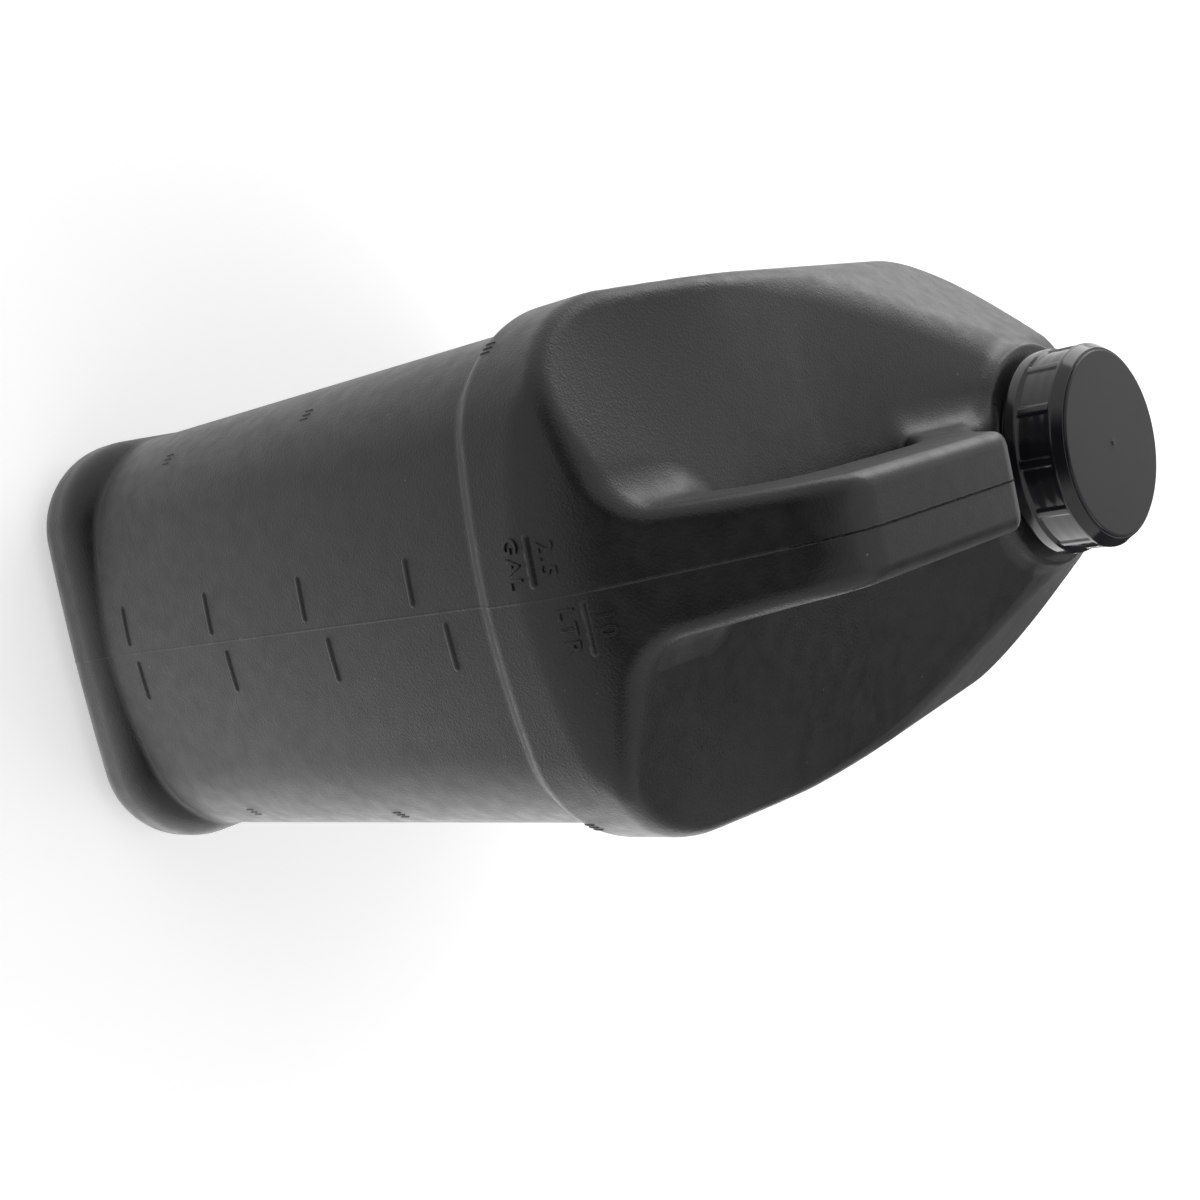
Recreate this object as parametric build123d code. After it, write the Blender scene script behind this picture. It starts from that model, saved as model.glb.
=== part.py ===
from build123d import *
import os
from math import cos, radians, sin, sqrt, tan

# Blow-moulded jug with a hollow handle, a screw cap and its sealing disc, in millimetres.
# +Z is up and the jug stands on z = 0. +Y points from the handle end to the neck, and x = 0 is the parting plane.

# Wall of the shell
wall = 1.6

# Plan of the body, widest at the shoulder
body_width = 158.0
body_length = 260.0
rear_corner = 34.0
front_corner = 36.0
end_bow_radius = 290.0

# Base bumper
base_side_setback = 3.0
base_corner = 32.0
base_bow_radius = 1200.0
base_height = 33.0
base_foot_radius = 16.0
base_top_radius = 3.2
push_up_height = 3.0
push_up_margin = 27.0
push_up_slope = 45.0

# Label panel, set back between the bumper and the shoulder
panel_setback = 3.5
panel_side_setback = 4.5

# Shoulder and the low roof on both sides of the handle
eaves_z = 272.0
eaves_radius = 14.0
shoulder_height = 38.0
lip_radius = 3.2
roof_margin = 15.0
roof_rise = 8.2

# Slanted facet on each side of the shoulder, turned in towards the collar
hip_slope = 45.0
hip_turn = 10.2

# Rear end above the lip, which runs up into the handle column
rear_depth = 30.0
flare_x = 25.0
flare_radius = 14.0

# Handle: leaning column, level bar and front post
handle_rise = 54.0
handle_top_width = 30.4
handle_grip_width = 33.6
handle_root_width = 46.0
handle_edge_radius = 4.5
bar_thickness = 27.0
brow_length = 10.0
brow_drop = 5.0
column_foot_setback = 4.0
column_foot_drop = 3.0
column_run = 50.0
column_thickness = 32.0
grip_corner_radius = 10.0
post_to_neck = 71.5
post_foot_rise = 10.0
post_lean = 12.0
post_top_to_neck = 79.5
nose_to_neck = 61.5
nose_radius = 12.0

# Neck with its collar, a short round wall on a low cone
neck_setback = 40.5
collar_rise = 21.5
collar_radius = 38.4
collar_wall = 4.2
collar_slope = 26.0
collar_edge_radius = 2.0
neck_bore = 54.8
neck_wall = 2.6
thread_depth = 1.3

# Screw cap
cap_rim_gap = 3.5
cap_height = 21.0
cap_rim_diameter = 70.4
cap_rim_height = 4.6
cap_panel_diameter = 67.8
cap_band_diameter = 69.2
cap_band_height = 5.2
cap_slope_width = 2.2
cap_slope_height = 3.2
cap_slope_radius = 1.2
cap_face_diameter = 63.0
cap_face_height = 0.8
cap_edge_radius = 0.4
cap_top_thickness = 2.0
cap_thread_clearance = 0.6
rib_count = 12
rib_width = 3.8
rib_proud = 0.55

# Sealing disc under the cap's top
liner_thickness = 1.2
liner_clearance = 0.3
liner_edge_clearance = 0.3

# Heights worked out from the sizes above
lip_z = eaves_z - shoulder_height
lip_top_z = lip_z + 2 * lip_radius
root_z = eaves_z - eaves_radius
spine_z = eaves_z + roof_rise
roof_half_width = body_width / 2 - roof_margin
flare_z = spine_z - roof_rise * flare_x / roof_half_width
collar_z = eaves_z + collar_rise
collar_foot_z = collar_z - collar_wall
handle_top_z = eaves_z + handle_rise
grip_z = handle_top_z - bar_thickness
column_foot_z = eaves_z - column_foot_drop
post_foot_z = eaves_z + post_foot_rise

# Places along the jug, from its two ends
rear_y = -body_length / 2
neck_y = body_length / 2 - neck_setback
column_foot_y = rear_y + column_foot_setback
handle_rear_y = column_foot_y + column_run
handle_front_y = neck_y - post_top_to_neck
rear_lean = column_run / (handle_top_z - column_foot_z)
grip_rear_y = column_foot_y + column_thickness + rear_lean * (grip_z - column_foot_z)
post_rear_y = neck_y - post_to_neck
grip_front_y = post_rear_y - post_lean
nose_y = neck_y - nose_to_neck

# Neck, cap and disc, stacked on the collar
cap_rim_z = collar_z + cap_rim_gap
cap_top_z = cap_rim_z + cap_height
cap_ceiling_z = cap_top_z - cap_top_thickness
neck_top_z = cap_ceiling_z - liner_thickness - liner_clearance
neck_radius = neck_bore / 2 + neck_wall
cap_bore_radius = neck_radius + thread_depth + cap_thread_clearance
BOTTOM = (Align.CENTER, Align.CENTER, Align.MIN)


def plan(setback, side_setback, corner, bow_radius=end_bow_radius):
    """Plan outline with straight long sides and bowed ends, set back from the body's widest outline."""
    half_width = body_width / 2 - side_setback
    half_length = body_length / 2 - setback
    radius = bow_radius - setback
    side_end = half_length - radius + sqrt(radius**2 - half_width**2)
    outline = [
        Line((-half_width, -side_end), (-half_width, side_end)),
        ThreePointArc((-half_width, side_end), (0, half_length), (half_width, side_end)),
        Line((half_width, side_end), (half_width, -side_end)),
        ThreePointArc((half_width, -side_end), (0, -half_length), (-half_width, -side_end)),
    ]
    face = make_face(outline)
    face = fillet(face.vertices().group_by(Axis.Y)[0], corner - setback)
    return fillet(face.vertices().group_by(Axis.Y)[-1], front_corner - setback)


def prism(face, low, high):
    return extrude(Plane.XY.offset(low) * face, high - low)


def outline_face(points, radii):
    return make_face(FilletPolyline(*points, radius=radii, close=True))


def mirrored(points):
    """Closed run of points from the right half of an outline and its mirror image."""
    return points + [(-x, z) for x, z in reversed(points)]


def across(face, inset):
    """Solid with this side outline, running right across the jug."""
    inner = offset(face, -inset, kind=Kind.INTERSECTION) if inset else face
    return extrude(Plane.YZ * inner, body_width, both=True)


def along(face, inset):
    """Solid with this front outline, running along the whole jug."""
    inner = offset(face, -inset, kind=Kind.INTERSECTION) if inset else face
    return extrude(Plane.XZ * inner, body_length, both=True)


def upright(radius, low, high):
    """Cylinder on the neck's axis."""
    return Pos(0, neck_y, low) * Cylinder(radius, high - low, align=BOTTOM)


def base(inset):
    bumper_plan = plan(inset, base_side_setback + inset, base_corner, base_bow_radius)
    bumper = prism(bumper_plan, inset, base_height - inset)
    bumper = fillet(bumper.edges().group_by(Axis.Z)[0], base_foot_radius - inset)
    bumper = fillet(bumper.edges().group_by(Axis.Z)[-1], base_top_radius - inset)
    margin = push_up_margin - inset
    recess_plan = plan(margin, base_side_setback + margin, base_corner, base_bow_radius)
    height = push_up_height + inset
    run = margin + height / tan(radians(push_up_slope))
    roof_plan = plan(run, base_side_setback + run, base_corner, base_bow_radius)
    return bumper - loft([recess_plan, Pos(0, 0, height) * roof_plan])


def panel(inset):
    face = plan(panel_setback + inset, panel_side_setback + inset, rear_corner)
    return prism(face, base_height / 2, lip_top_z)


def shoulder(inset):
    block = prism(plan(inset, inset, rear_corner), lip_z + inset, eaves_z - inset)
    block = fillet(block.edges().group_by(Axis.Z)[0], lip_radius - inset)
    return fillet(block.edges().group_by(Axis.Z)[-1], eaves_radius - inset)


def gable():
    """Front outline of the roof: a low gable with its ridge under the handle."""
    points = mirrored([(roof_half_width, root_z), (roof_half_width, eaves_z)])
    points.insert(2, (0, spine_z))
    return outline_face(points, [0] * len(points))


def roof(inset):
    """Low roof that drains the top to both sides."""
    margin = roof_margin + inset
    return along(gable(), inset) & prism(plan(margin, margin, rear_corner), root_z, spine_z)


def cone(inset):
    """Low cone round the neck, cut off by the front end and kept clear of the long sides."""
    slope = radians(collar_slope)
    top_radius = collar_radius - inset / sin(slope)
    height = collar_foot_z - lip_top_z
    solid = Pos(0, neck_y, lip_top_z) * Cone(top_radius + height / tan(slope), top_radius, height, align=BOTTOM)
    return solid & prism(plan(inset, collar_edge_radius + inset, rear_corner), lip_top_z, collar_z)


def hips(inset):
    """What the slanted facets on both sides of the collar cut away."""
    slope = radians(hip_slope)
    turn = radians(hip_turn)
    outward = Vector(cos(turn) * sin(slope), sin(turn) * sin(slope), cos(slope))
    foot = Vector(collar_radius, neck_y, collar_foot_z)
    facet = Plane(foot - outward * inset, x_dir=(-sin(turn), cos(turn), 0), z_dir=outward)
    right = facet * Box(2 * body_length, 2 * body_length, body_width, align=BOTTOM)
    return right + mirror(right, Plane.YZ)


def collar(inset):
    """Round wall that carries the neck."""
    wall_ring = upright(collar_radius - inset, root_z, collar_z - inset)
    return fillet(wall_ring.edges().group_by(Axis.Z)[-1], collar_edge_radius)


def rear_end(inset):
    """Upright rear end, with the roof's slopes at its top and a flare on each side of the column."""
    half_width = body_width / 2
    flank = [
        (half_width, lip_z + lip_radius),
        (half_width, eaves_z),
        (roof_half_width, eaves_z),
        (flare_x, flare_z),
        (handle_grip_width / 2, grip_z),
    ]
    radii = [0, eaves_radius, 0, flare_radius, 0]
    front = outline_face(mirrored(flank), radii + radii[::-1])
    low_y = rear_y - rear_depth
    low_z = column_foot_z - (column_foot_y - low_y) / rear_lean
    grip_run = rear_lean * (grip_z - column_foot_z)
    side = [
        (low_y, low_z),
        (column_foot_y + grip_run, grip_z),
        (rear_y + rear_depth + grip_run, grip_z),
        (rear_y + rear_depth, column_foot_z),
        (rear_y + rear_depth, low_z),
    ]
    return along(front, inset) & across(outline_face(side, [0] * len(side)), inset)


def handle_side():
    """Side outline of the handle: column, bar and post, open to the roof below the grip."""
    neck_side_y = neck_y - collar_radius + collar_edge_radius
    column_front_y = column_foot_y + column_thickness
    over = handle_edge_radius
    points = [
        (column_foot_y, root_z),
        (column_foot_y, column_foot_z),
        (handle_rear_y - rear_lean * brow_drop, handle_top_z - brow_drop),
        (handle_rear_y - rear_lean * brow_drop + brow_length * (1 + over / brow_drop), handle_top_z + over),
        (handle_front_y, handle_top_z + over),
        (handle_front_y, handle_top_z),
        (nose_y, grip_z),
        (neck_side_y, collar_z),
        (neck_side_y, root_z),
        (post_rear_y, root_z),
        (post_rear_y, post_foot_z),
        (grip_front_y, grip_z),
        (grip_rear_y, grip_z),
        (column_front_y, column_foot_z),
        (column_front_y, root_z),
    ]
    grip = grip_corner_radius
    radii = [0, grip, 0, 0, 0, 0, nose_radius, 0, 0, 0, grip, grip, grip, grip, 0]
    return outline_face(points, radii)


def handle_front():
    """Front outline of the handle, which widens downwards."""
    low = Vector(handle_root_width / 2, root_z - handle_edge_radius)
    middle = Vector(handle_grip_width / 2, grip_z)
    high = Vector(handle_top_width / 2, handle_top_z)
    flank = ThreePointArc(low, middle, high)
    other = mirror(flank, Plane.YZ)
    face = make_face([flank, other, Line(flank @ 1, other @ 1), Line(flank @ 0, other @ 0)])
    return fillet(face.vertices().group_by(Axis.Y)[-1], handle_edge_radius)


def handle(inset):
    return across(handle_side(), inset) & along(handle_front(), inset)


def form(inset):
    """Outer form of the jug below the neck, or the form that lies this far inside it."""
    outline = prism(plan(inset, inset, rear_corner), 0, handle_top_z)
    rear = (rear_end(inset) + handle(inset)) & outline
    top = shoulder(inset) + roof(inset) + cone(inset) - hips(inset)
    return base(inset) + panel(inset) + top + collar(inset) + rear


def bottle():
    neck = upright(neck_radius, collar_z - wall, neck_top_z)
    bore = upright(neck_bore / 2, root_z, neck_top_z)
    return form(0) + neck - form(wall) - bore


def cap():
    rim = cap_rim_diameter / 2
    panel_radius = cap_panel_diameter / 2
    band = cap_band_diameter / 2
    face = cap_face_diameter / 2
    ring_z = cap_rim_z + cap_rim_height
    face_z = cap_top_z - cap_face_height
    band_z = face_z - cap_band_height
    corners = [
        ((0, cap_top_z), 0),
        ((face, cap_top_z), cap_edge_radius),
        ((face, face_z), 0),
        ((band - cap_slope_width, face_z), cap_edge_radius),
        ((band, face_z - cap_slope_height), cap_slope_radius),
        ((band, band_z), cap_edge_radius),
        ((panel_radius, band_z), 0),
        ((panel_radius, ring_z), 0),
        ((rim, ring_z), cap_edge_radius),
        ((rim, cap_rim_z), cap_edge_radius),
        ((cap_bore_radius, cap_rim_z), cap_edge_radius),
        ((cap_bore_radius, cap_ceiling_z), 0),
        ((0, cap_ceiling_z), 0),
    ]
    section = outline_face([point for point, radius in corners], [radius for point, radius in corners])
    body = revolve(Plane.XZ * section, Axis.Z)
    rib = Pos(panel_radius, 0, ring_z) * Box(2 * rib_proud, rib_width, band_z - ring_z, align=BOTTOM)
    ribs = PolarLocations(0, rib_count) * rib
    return Pos(0, neck_y, 0) * (body + ribs)


def liner():
    radius = cap_bore_radius - liner_edge_clearance
    return upright(radius, cap_ceiling_z - liner_thickness, cap_ceiling_z)


os.makedirs("parts", exist_ok=True)
for name, shape in (("bottle", bottle()), ("cap", cap()), ("liner", liner())):
    export_step(shape, f"parts/{name}.step")
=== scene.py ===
from math import cos, hypot, pi, radians, sin, tau

import bpy
import numpy as np
from mathutils import Matrix, Vector


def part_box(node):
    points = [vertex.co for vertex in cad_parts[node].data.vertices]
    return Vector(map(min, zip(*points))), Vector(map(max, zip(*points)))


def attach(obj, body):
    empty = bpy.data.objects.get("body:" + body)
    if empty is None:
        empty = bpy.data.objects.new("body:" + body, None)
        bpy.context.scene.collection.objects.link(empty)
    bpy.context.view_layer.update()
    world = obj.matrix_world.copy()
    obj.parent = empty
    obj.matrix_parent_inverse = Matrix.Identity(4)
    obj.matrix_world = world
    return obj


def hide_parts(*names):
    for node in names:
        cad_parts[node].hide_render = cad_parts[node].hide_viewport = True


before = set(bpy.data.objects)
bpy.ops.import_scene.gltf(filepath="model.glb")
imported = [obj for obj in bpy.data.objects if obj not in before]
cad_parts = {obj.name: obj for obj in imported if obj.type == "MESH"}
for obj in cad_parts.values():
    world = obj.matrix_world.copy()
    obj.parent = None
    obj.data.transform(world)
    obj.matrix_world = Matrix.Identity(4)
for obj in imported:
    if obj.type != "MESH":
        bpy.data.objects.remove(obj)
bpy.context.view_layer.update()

# Sizes are in millimetres and slopes in degrees, in the jug's frame: +Z up, +Y from handle to neck
MM = 0.001

# Overall sizes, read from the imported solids
bottle_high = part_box("bottle")[1] / MM
cap_low, cap_high = (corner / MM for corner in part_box("cap"))
half_width = bottle_high.x
half_length = bottle_high.y
handle_top_z = bottle_high.z
neck_y = (cap_low.y + cap_high.y) / 2
cap_rim_radius = (cap_high.x - cap_low.x) / 2
cap_rim_z = cap_low.z
cap_top_z = cap_high.z

# Body and base
WALL = 1.6
REAR_CORNER = 34.0
FRONT_CORNER = 36.0
END_BOW = 290.0
SEAM_CREASE = 5.0
SEAM_RISE = 0.16
SEAM_WIDTH = 0.3
BASE_SIDE_SETBACK = 3.0
BASE_CORNER = 32.0
BASE_BOW = 1200.0
BASE_HEIGHT = 37.5
FOOT_RADIUS = 16.0
BASE_TOP_RADIUS = 16.0
PUSH_UP_MARGIN = 27.0
PUSH_UP_HEIGHT = 3.0
PUSH_UP_EDGE = PUSH_UP_HEIGHT / 2
SEAM_FOOT = (1.0, 6.0)
PANEL_SETBACK = 3.5
PANEL_SIDE_SETBACK = 4.5
GROOVE_RADIUS = 2.2
BASE_GROOVE_RADIUS = 1.2

# Shoulder and roof
LIP_Z = 234.0
LIP_RADIUS = 6.5
EAVES_Z = 270.0
EAVES_RADIUS = 5.0
ROOF_RISE = 10.2
REAR_RISE = 26.1
REAR_LIFT = 6.3
RIDGE_Z = 281.0
RIDGE_RADIUS = 6.0
REAR_SLOPE_Y = (-0.88 * half_length, -0.3 * half_length)
BACK_RADIUS = 9.0
HIP_SLOPE = 45.0
HIP_TURN = 10.2
HIP_RADIUS = 5.0
VALLEY_RADIUS = 10.0

# Handle
COLUMN_FOOT = (-126.0, 269.0)
COLUMN_TOP = (-80.4, 321.0)
COLUMN_THICKNESS = 32.0
BROW_LENGTH = 10.0
BROW_RADIUS = 2.5
BROW_EDGE_Z = (handle_top_z - 16, handle_top_z - 8)
BROW_EDGE_Y = (half_length / 4, half_length / 2)
HANDLE_FRONT_Y = 10.0
NOSE_Y = 28.0
NOSE_RADIUS = 12.0
BAR_THICKNESS = 27.0
GRIP_RADIUS = 10.0
POST_LEAN = (12.0, 17.0)
POST_REAR_Y = 6.0
HANDLE_EDGE_RADIUS = 4.8
HANDLE_TOP_HALF_WIDTH = 15.2
BROW_EDGE_X = (HANDLE_TOP_HALF_WIDTH / 3, HANDLE_TOP_HALF_WIDTH - 1)
HANDLE_GRIP_HALF_WIDTH = 16.8
HANDLE_ROOT_HALF_WIDTH = 26.0
HANDLE_ROOT_Z = 238.5

# Collar and neck, with the length of the thread's run-outs in radians
COLLAR_Z = 293.5
COLLAR_RADIUS = 39.0
COLLAR_WALL = 4.2
COLLAR_SLOPE = 26.0
COLLAR_EDGE_RADIUS = 1.8
COLLAR_FOOT_RADIUS = 4.0
COLLAR_BLEND = 20.0
NECK_RADIUS = 30.0
NECK_BORE_RADIUS = 27.4
NECK_TOP_Z = 314.5
NECK_LIP_RADIUS = 0.6
NECK_FOOT_RADIUS = 1.0
NECK_FOOT_WIDTH = 1.5
THREAD_DEPTH = 1.3
THREAD_PITCH = 4.2333
THREAD_TURNS = 1.5
THREAD_START_Z = 300.5
THREAD_HALF_WIDTH = 1.3
THREAD_FADE = 0.4

# Cap
CAP_CEILING_Z = 316.0
CAP_BORE_RADIUS = 31.9
CAP_FACE_RADIUS = 31.5
CAP_FACE_STEP = 0.8
CAP_EDGE_RADIUS = 0.6
CAP_STEP_RADIUS = 0.15
CAP_BAND_RADIUS = 34.6
CAP_SLOPE = (2.2, 3.2)
CAP_SLOPE_RADII = (0.3, 1.4)
CAP_BAND_HEIGHT = 4.2
CAP_BAND_DROP = 0.2
CAP_BAND_RADII = (0.25, 0.2)
CAP_PANEL_RADIUS = 33.9
CAP_RIM_HEIGHT = 4.6
CAP_RIM_SLOPE = (0.5, 0.4)
CAP_RIM_RADII = (0.4, 0.5)
CAP_BORE_EDGE = 0.4
CAP_BORE_EDGE_RADIUS = 0.3
CAP_LEAD_IN = 0.8
RIB_COUNT = 12
RIB_WIDTH = 3.8
RIB_PROUD = 0.55
RIB_FLANK = RIB_WIDTH / 5
SKIRT_SLACK = 0.5
SINK_DEPTH = 0.06
SINK_FADE = 2.0
GATE_RADIUS = 0.9
GATE_HEIGHT = 0.25
GATE_EDGE_RADIUS = 0.15
GATE_FOOT_RADIUS = 0.1
CAP_AXIS_RADIUS = 0.05

# Marks on the rear: bars as (x from, x to, z), texts as (text, height, x, y, z), ticks as (x, y, z)
BAR_WIDTH = 3.0
MARK_RISE = 0.7
TICK_RISE = 0.4
BARS = (
    *((2.8, 18.2, z) for z in (48.7, 104.5, 160.2, 216.0)),
    *((-17.6, -2.2, z) for z in (45.8, 98.5, 151.3, 204.0)),
    (1.8, 18.0, 272.7), (-18.2, -2.8, 258.2),
)
TEXTS = (
    ("10", 4.6, 9.3, -125.6, 276.4), ("LTR", 4.6, 9.6, -129.3, 265.8),
    ("2.5", 4.6, -10.6, -129.6, 263.6), ("GAL", 4.6, -10.7, -129.6, 252.2),
)
TICK_SIZE = (0.7, 4.2)
TICK_STEP = 1.9
TICKS = (
    (-69.3, -109.7, 240.5), (68.6, -109.9, 240.5), (-65.5, -108.5, 152.5),
    (65.8, -108.5, 152.5), (63.7, -110.7, 73.5), (-63.7, -110.7, 73.5),
)

# Forms of those marks: low pads for the bars and ticks, and raised letters
PAD_MARGIN = 0.1
PAD_STEP = 0.3
PAD_LEAST_COLUMNS = 10
PAD_ROWS = 9
PAD_FLANK_SHARE = 2.6
PAD_SINK = 0.06
CAPITAL_SHARE = 0.7
LETTER_SPACING = 1.25
LETTER_DEPTH = 0.6 * MARK_RISE
LETTER_BEVEL = 0.16
LETTER_THINNING = 0.05

# Ragged flash left on the parting line over the handle
FLASH_FROM = (-88.0, 312.0)
FLASH_TO = (14.0, 321.0)
FLASH_HALF_WIDTH = 0.3
FLASH_RISE = 0.3
FLASH_END_RUN = 8.0
FLASH_STEP = 0.35
FLASH_TEAR = 5
FLASH_SEED = 7
FLASH_SIDES = (-1.0, -0.55, -0.3, 0.0, 0.3, 0.55, 1.0)
FLASH_ROOT = -0.08
FLASH_VALLEY = 0.02
FLASH_SWAY = 0.04
FLASH_SWAY_RATE = 0.9
FLASH_JITTER = 0.05
FLASH_LIP_SPREAD = (1.5, 0.3)
FLASH_LIP_LEAST = 0.05
FLASH_LIP_SHOULDER = 0.8
FLASH_LIP_ROUGHNESS = 0.4

# Grid of the skin, as (place, step) stops that get finer at the seam, the collar, the base and the lip
GRID_EDGE = 3.0
GRID_X = half_width + GRID_EDGE
GRID_Y = half_length + GRID_EDGE
GRID_TOP = handle_top_z + GRID_EDGE
RING = (26.0, COLLAR_RADIUS + 1.5)
SKIN_X = (
    (-GRID_X, 2.0), (-RING[1], 1.3), (-RING[0], 2.0), (-1.0, 0.25),
    (1.0, 2.0), (RING[0], 1.3), (RING[1], 2.0), (GRID_X, 0),
)
SKIN_Y = (
    (-GRID_Y, 2.0), (neck_y - RING[1], 1.3), (neck_y - RING[0], 2.0),
    (neck_y + RING[0], 1.3), (GRID_Y, 0),
)
SKIN_Z = (
    (-GRID_EDGE, 2.0), (BASE_HEIGHT - 9.5, 0.8), (BASE_HEIGHT - 1.5, 5.0), (LIP_Z - 9, 1.2),
    (LIP_Z + 12, 1.8), (COLLAR_Z - 6, 0.7), (COLLAR_Z + 1, 1.8), (GRID_TOP, 0),
)
CAVITY_STEP = 6.0
CAVITY_Z = ((-GRID_EDGE, 5.0), (BASE_HEIGHT + 6.5, 14.0), (LIP_Z - 12, 5.0), (GRID_TOP, 0))

# Meshes of the turned forms, and what counts as level, as on a wall and as too flat a slope
NECK_SEGMENTS = 120
NECK_STEP = 0.95
CAP_SEGMENTS = 540
CAP_SKIRT_STEP = 0.5
CAP_BORE_STEP = 0.65
CAP_FACE_MARGIN = 1.0
CAP_FACE_THINNING = 6
CAP_CEILING_THINNING = 8
GATE_MARGIN = 0.3
ARC_POINTS = 6
LEVEL_SLACK = 0.6
WALL_SLACK = 0.01
LEAST_SLOPE = 0.1

# Heights between which the grain of the jug fades, and depths between which the cap's face turns matte
GRAIN_FADE_Z = (308.0, 322.0)
MATTE_DEPTHS = (0.7, 0.2)

# Camera, fitted to the photograph
CAMERA_PLACE = Vector((-37.8, -432.6, 575.6))
CAMERA_RIGHT = Vector((0.2156, 0.6657, 0.7144))
CAMERA_BACK = Vector((-0.0935, -0.7141, 0.6937))
CAMERA_LENS = 49.785
CAMERA_SENSOR = 36.0

# Light, in metres and watts
FLOOR_REACH = 6.0
FLOOR_LIFT = 0.46
FLOOR_SHINE_ACROSS = (-0.1, 0.12, 0.26, 1.0)
FLOOR_SHINE_ALONG = (-0.36, -0.16, 0.2, 1.4)
SURROUND = 0.85
DARK_PATCHES = (
    (CAMERA_BACK, 0.72, 0.97, 0.02),
    (Vector((0.42, 0.75, 0.51)), 0.9, 0.98, 0.3),
)
FLAG = ((0.16, 0.5, 0.0), (1.3, 0.5, 0.8))
LAMPS = (
    ("left_box", (-1.3, 1.3, 0.55), (-0.1, 0.1, 0.15), (1.4, 0.9), 9.0),
    ("right_box", (1.3, 1.3, 0.55), (0.1, 0.1, 0.15), (1.4, 0.9), 9.0),
)


# Distance fields: each is negative inside its form, and takes arrays that broadcast against each other

def round_and(a, b, radius):
    """What lies in both forms, with a round edge where they meet."""
    corner = np.hypot(np.maximum(a + radius, 0), np.maximum(b + radius, 0))
    return np.minimum(np.maximum(a, b), -radius) + corner


def round_or(a, b, radius):
    """What lies in either form, with a round valley where they meet."""
    corner = np.hypot(np.maximum(radius - a, 0), np.maximum(radius - b, 0))
    return np.maximum(np.minimum(a, b), radius) - corner


def ramp(value, low, high):
    """Goes smoothly from 0 at low to 1 at high."""
    share = np.clip((value - low) / (high - low), 0, 1)
    return share * share * (3 - 2 * share)


def plan(x, y, setback, side_setback, rear_corner, bow):
    """Outline of the body from above, with bowed ends that meet in a faint crease on the parting plane."""
    side = np.abs(x) - (half_width - side_setback)
    radius = hypot(bow, SEAM_CREASE)
    end = np.hypot(np.abs(x) + SEAM_CREASE, np.abs(y) - (half_length - bow)) - (radius - setback)
    corner = np.where(y < 0, rear_corner, FRONT_CORNER) - setback
    return round_and(side, end, corner)


def half_plane(u, v, start, end):
    """Signed distance from the line through two points, negative on its right seen from start to end."""
    du, dv = end[0] - start[0], end[1] - start[1]
    return ((v - start[1]) * du - (u - start[0]) * dv) / hypot(du, dv)


def bumper(x, y, z):
    outline = plan(x, y, 0, BASE_SIDE_SETBACK, BASE_CORNER, BASE_BOW)
    form = round_and(round_and(outline, -z, FOOT_RADIUS), z - BASE_HEIGHT, BASE_TOP_RADIUS)
    recess = plan(x, y, PUSH_UP_MARGIN, BASE_SIDE_SETBACK + PUSH_UP_MARGIN, BASE_CORNER, BASE_BOW)
    return round_and(form, -np.maximum(recess, z - PUSH_UP_HEIGHT), PUSH_UP_EDGE)


def panel(x, y, z):
    outline = plan(x, y, PANEL_SETBACK, PANEL_SIDE_SETBACK, REAR_CORNER, END_BOW)
    return np.maximum(outline, np.maximum(BASE_HEIGHT / 2 - z, z - LIP_Z - LIP_RADIUS))


def roof(x, y, z):
    """Low roof that falls to both sides, and more so towards the rear corners."""
    to_rear = 1 - ramp(y, *REAR_SLOPE_Y)
    slope = (ROOF_RISE + (REAR_RISE - ROOF_RISE) * to_rear) / half_width
    flank = z - EAVES_Z - ROOF_RISE - REAR_LIFT * to_rear + slope * np.abs(x)
    return round_and(flank, z - RIDGE_Z, RIDGE_RADIUS * to_rear)


def collar_slope(x, y, z):
    """Flat-topped cone that falls from the foot of the collar."""
    slope = radians(COLLAR_SLOPE)
    reach = np.hypot(x, y - neck_y) - COLLAR_RADIUS
    rise = z - COLLAR_Z + COLLAR_WALL
    return np.maximum(reach * sin(slope) + rise * cos(slope), rise)


def collar(x, y, z):
    return round_and(np.hypot(x, y - neck_y) - COLLAR_RADIUS, z - COLLAR_Z, COLLAR_EDGE_RADIUS)


def hip(x, y, z):
    """Slanted facet on each side, which runs in towards the foot of the collar."""
    slope, turn = radians(HIP_SLOPE), radians(HIP_TURN)
    outward = (np.abs(x) - COLLAR_RADIUS) * cos(turn) + (y - neck_y) * sin(turn)
    return outward * sin(slope) + (z - COLLAR_Z + COLLAR_WALL) * cos(slope)


def handle_half_width(z):
    """Half the width of the handle, on a parabola through its top, its grip and its root."""
    heights = (HANDLE_ROOT_Z, handle_top_z - BAR_THICKNESS, handle_top_z)
    widths = (HANDLE_ROOT_HALF_WIDTH, HANDLE_GRIP_HALF_WIDTH, HANDLE_TOP_HALF_WIDTH)
    return np.polyval(np.polyfit(heights, widths, 2), z)


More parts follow.
